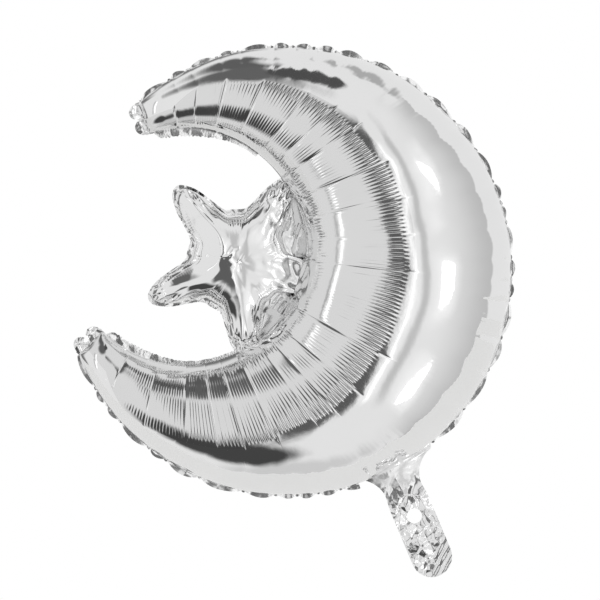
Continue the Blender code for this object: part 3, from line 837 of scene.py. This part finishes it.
def tail_outline(down, across, side):
    """Distances along and across the tail, with its flare at the rim, its round end and, on the
    front film, the tear that runs across it. It also gives the half width."""
    long = TAIL_START + down * (TAIL_END - TAIL_START)
    flare = np.clip(1 - np.clip(long / FLARE_LENGTH, 0, 1), 0, 1)
    half = NECK_HALF + (TAIL_HALF - NECK_HALF) * smooth(long, 0.015, 0.03)
    half = half + FLARE_HALF * (1 - np.sqrt(1 - flare ** 2))
    rounding = np.clip((long - (TAIL_END - TAIL_HALF)) / TAIL_HALF, 0, 1)
    half = half * np.sqrt(np.clip(1 - rounding ** 2, 0.0004, 1))
    right = np.ones_like(long)
    if side < 0:
        tear_slant, ragged, ragged_per_metre = 1.5, 0.10, 420
        torn = np.clip((long - TEAR_START) / (TAIL_END - TEAR_START), 0, 1)
        right = 1.0 - tear_slant * torn ** 0.8
        right = right + ragged * np.sin(long * ragged_per_metre) * smooth(long, 0.060, 0.066)
    sideways = (-1 + (across + 1) / 2 * (right + 1)) * half
    # The start of the neck follows the round rim.
    sag = RIM_RADIUS - np.sqrt(RIM_RADIUS ** 2 - sideways ** 2)
    return long - (1 - np.clip(long / 0.012, 0, 1)) * sag, sideways, half


def tail_film(name, side, seed):
    """One film of the neck and the tail."""
    big_facet, big_height, shared_seed = 0.0095, 0.0028, 91
    small_facet, small_height = 0.0048, 0.0007
    least_gap, gap_opens, throat_height = 0.0003, 0.0011, 0.0034
    stripe, stripe_height, end_lift, flatter = 0.0050, 0.00017, 0.0012, 0.85
    neck_free, tail_free = 0.20, 0.80
    along, sideways, half = tail_outline(np.linspace(0, 1, 190)[:, None],
                                         np.linspace(-1, 1, 84), side)
    # The hole: points inside it move out to its edge.
    away = np.stack([along - HOLE_ALONG, sideways], -1)
    from_hole = np.linalg.norm(away, axis=-1)
    gone = from_hole < HOLE_RADIUS
    keep = ~(gone[:-1, :-1] & gone[1:, :-1] & gone[:-1, 1:] & gone[1:, 1:])
    edge = away / from_hole[..., None] * HOLE_RADIUS
    along = np.where(gone, HOLE_ALONG + edge[..., 0], along)
    sideways = np.where(gone, edge[..., 1], sideways)
    x = TAIL_ROOT[0] + along * ALONG[0] + sideways * ACROSS[0]
    z = TAIL_ROOT[1] + along * ALONG[1] + sideways * ACROSS[1]
    # Both films share the big facets and have small ones of their own. The neck is calmer.
    free = neck_free * smooth(along, 0.001, 0.012) + tail_free * smooth(along, 0.012, 0.036)
    shared = crumple(x, z, big_facet, shared_seed) * big_height
    own = crumple(x, z, small_facet, seed) * small_height
    gap = least_gap + gap_opens * smooth(along, 0.030, 0.080)
    throat = throat_height * (1 - smooth(along, -0.002, 0.020)) * (1 - (sideways / half) ** 2)
    y = free * (shared + own) + side * (gap + throat)
    if side > 0:
        # Beyond the tear the back film is flatter, with slanting stripes pressed into it.
        slant = math.radians(62.0)
        stripes = np.sin(2 * np.pi * (z * math.cos(slant) - x * math.sin(slant)) / stripe)
        bare = smooth(along, 0.055, 0.068)
        y = y * (1 - flatter * bare) + stripe_height * stripes * bare + end_lift * bare
    return film(name, np.stack([x, y, z], -1), side, LOOSE_FILM, keep=keep)


# Each tail film's name, side, seed and the parts of the model that it stands in for.
for name, side, seed, nodes in (("tail_front_film", -1, 92, ["neck_root", "tail_front_layer"]),
                                ("tail_back_film", 1, 93, ["tail_back_layer"])):
    piece = tail_film(name, side, seed)
    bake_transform(piece)
    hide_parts(*nodes)


# The studio that the film mirrors
# Bright walls, a darker side, dark gaps between the panels above and below, the dark of the
# camera's stand, and three small softboxes on the right. It is painted on the world, because
# the film shows it and little else.

WALL_LEVEL = 0.85
# Walls and flags: azimuth (0 in front, 90 at the right) and height, from and to, softness of
# the left, right and level edges, all in degrees, and brightness.
PANELS = (((62, 98), (-58, 57), 36, 1.5, 4, 0.56),
          ((84, 152), (60, 76), 8, 8, 4, 0.45),
          ((84, 145), (-66, -50), 8, 8, 4, 0.45),
          ((12.5, 19), (-30, 38), 2.5, 2.5, 9, 0.58),
          ((0, 10), (-27, 24), 1.5, 3, 5, 0.95),
          ((4, 7), (-27, 24), 1, 1, 5, 1.3),
          ((-67, -62.5), (-10, 24), 1, 1, 3, 1.5),
          ((-73, -70), (-12, 26), 1, 1, 3, 0.5),
          ((-176, -104), (-42, 38), 5, 5, 8, 0.20),
          ((-16, 0), (-33, 32), 3, 1.5, 6, 0.12),
          ((-150, -25), (57, 80), 12, 9, 6, 0.12),
          ((-80, 70), (-86, -64), 16, 16, 6, 0.66))
# Dark gaps, glows and softboxes: azimuth, height, half width and half height in degrees, how far
# each is turned on its stand, how square it is (1 a diamond, 2 round, 3 a rounded box), its soft
# edge as a share of its size, and brightness.
SPOTS = ((-38, 52, 29, 19, 0.0, 1.6, 0.30, 0.13),
         (-3, 66, 19, 13, 0.8, 1.3, 0.20, 0.08),
         (-38, -46, 38, 19, -0.2, 1.5, 0.30, 0.06),
         (36, 27.5, 12, 8, 0.5, 3, 0.6, 1.0),
         (36, -2, 12, 8, 0.0, 3, 0.6, 1.0),
         (36, -32, 12, 8, -0.5, 3, 0.6, 1.0),
         (36.5, 27, 6.2, 4.6, -0.15, 3, 0.16, 2.6),
         (36.5, -1.5, 7, 3.8, 0.0, 3, 0.16, 2.6),
         (36.5, -31.5, 6.5, 4.2, 0.1, 3, 0.16, 2.6))
# Above this height a lean shifts a spot sideways, since azimuths draw together there.
OVERHEAD = 60

world = bpy.data.worlds.new("studio")
bpy.context.scene.world = world
world.use_nodes = True
tree = world.node_tree
way = add(tree, "SeparateXYZ", in0=add(tree, "TexCoord").outputs["Generated"]).outputs
backward = add(tree, "Math", {"operation": "MULTIPLY"}, in0=way["Y"], in1=-1.0).outputs[0]
azimuth = add(tree, "Math", {"operation": "ARCTAN2"}, in0=way["X"], in1=backward).outputs[0]
azimuth = add(tree, "Math", {"operation": "DEGREES"}, in0=azimuth).outputs[0]
height = add(tree, "Math", {"operation": "ARCSINE"}, in0=way["Z"]).outputs[0]
height = add(tree, "Math", {"operation": "DEGREES"}, in0=height).outputs[0]
level = WALL_LEVEL
for (left, right), (low, high), soft_left, soft_right, soft_level, brightness in PANELS:
    mask = 1.0
    for value, at, soft, rising in ((azimuth, left, soft_left, 1.0),
                                    (azimuth, right, soft_right, 0.0),
                                    (height, low, soft_level, 1.0),
                                    (height, high, soft_level, 0.0)):
        edge = add(tree, "MapRange", {"interpolation_type": "SMOOTHSTEP"}, Value=value,
                   From_Min=at - soft, From_Max=at + soft, To_Min=1.0 - rising, To_Max=rising)
        mask = add(tree, "Math", {"operation": "MULTIPLY"}, in0=mask,
                   in1=edge.outputs["Result"]).outputs[0]
    level = add(tree, "Mix", Factor=mask, in2=level, in3=brightness).outputs[0]
for sideways, upright, wide, tall, lean, square, soft, brightness in SPOTS:
    turned = add(tree, "Math", {"operation": "SUBTRACT"}, in0=azimuth, in1=sideways).outputs[0]
    raised = add(tree, "Math", {"operation": "SUBTRACT"}, in0=height, in1=upright).outputs[0]
    if upright > OVERHEAD:
        turned = add(tree, "Math", {"operation": "MULTIPLY_ADD"}, in0=raised, in1=-lean,
                     in2=turned).outputs[0]
    else:
        raised = add(tree, "Math", {"operation": "MULTIPLY_ADD"}, in0=turned, in1=-lean,
                     in2=raised).outputs[0]
    size = 0.0
    for off, half in ((turned, wide), (raised, tall)):
        off = add(tree, "Math", {"operation": "ABSOLUTE"}, in0=off).outputs[0]
        off = add(tree, "Math", {"operation": "DIVIDE"}, in0=off, in1=half).outputs[0]
        off = add(tree, "Math", {"operation": "POWER"}, in0=off, in1=square).outputs[0]
        size = add(tree, "Math", {"operation": "ADD"}, in0=off, in1=size).outputs[0]
    size = add(tree, "Math", {"operation": "POWER"}, in0=size, in1=1 / square).outputs[0]
    mask = add(tree, "MapRange", {"interpolation_type": "SMOOTHSTEP"}, Value=size,
               From_Min=1.0 - soft, From_Max=1.0 + soft, To_Min=1.0, To_Max=0.0)
    level = add(tree, "Mix", Factor=mask.outputs["Result"], in2=level, in3=brightness).outputs[0]
# The camera itself sees plain white paper behind the balloon.
seen = add(tree, "LightPath").outputs["Is Camera Ray"]
level = add(tree, "Mix", Factor=seen, in2=level, in3=1.0).outputs[0]
background = tree.nodes["Background"]
tree.links.new(level, background.inputs["Strength"])
background.inputs["Color"].default_value = linear("#FFFFFF")
bpy.context.scene.view_settings.view_transform = "Standard"


# The floor
# A sheet of matte white paper well below the balloon. Its front edge lies almost under it, and
# it is lit a little from within, as paper under studio lamps looks in a mirror.

FLOOR_HALF_WIDTH, FLOOR_FRONT, FLOOR_BACK, FLOOR_DROP = 4.0, -0.1, 5.0, 0.9
PAPER_GLOW = 0.20

floor_mesh = bpy.data.meshes.new("floor")
floor_mesh.from_pydata([(-FLOOR_HALF_WIDTH, FLOOR_FRONT, -FLOOR_DROP),
                        (FLOOR_HALF_WIDTH, FLOOR_FRONT, -FLOOR_DROP),
                        (FLOOR_HALF_WIDTH, FLOOR_BACK, -FLOOR_DROP),
                        (-FLOOR_HALF_WIDTH, FLOOR_BACK, -FLOOR_DROP)], [], [(0, 1, 2, 3)])
floor = bpy.data.objects.new("floor", floor_mesh)
bpy.context.scene.collection.objects.link(floor)
# Matte paper: rough enough to show no reflection of the balloon.
paper = bpy.data.materials.new("matte_paper")
paper.use_nodes = True
sockets = paper.node_tree.nodes["Principled BSDF"].inputs
sockets["Base Color"].default_value = linear("#F9F9F8")
sockets["Roughness"].default_value = 0.9
sockets["Emission Color"].default_value = linear("#FFFFFF")
sockets["Emission Strength"].default_value = PAPER_GLOW
floor_mesh.materials.append(paper)
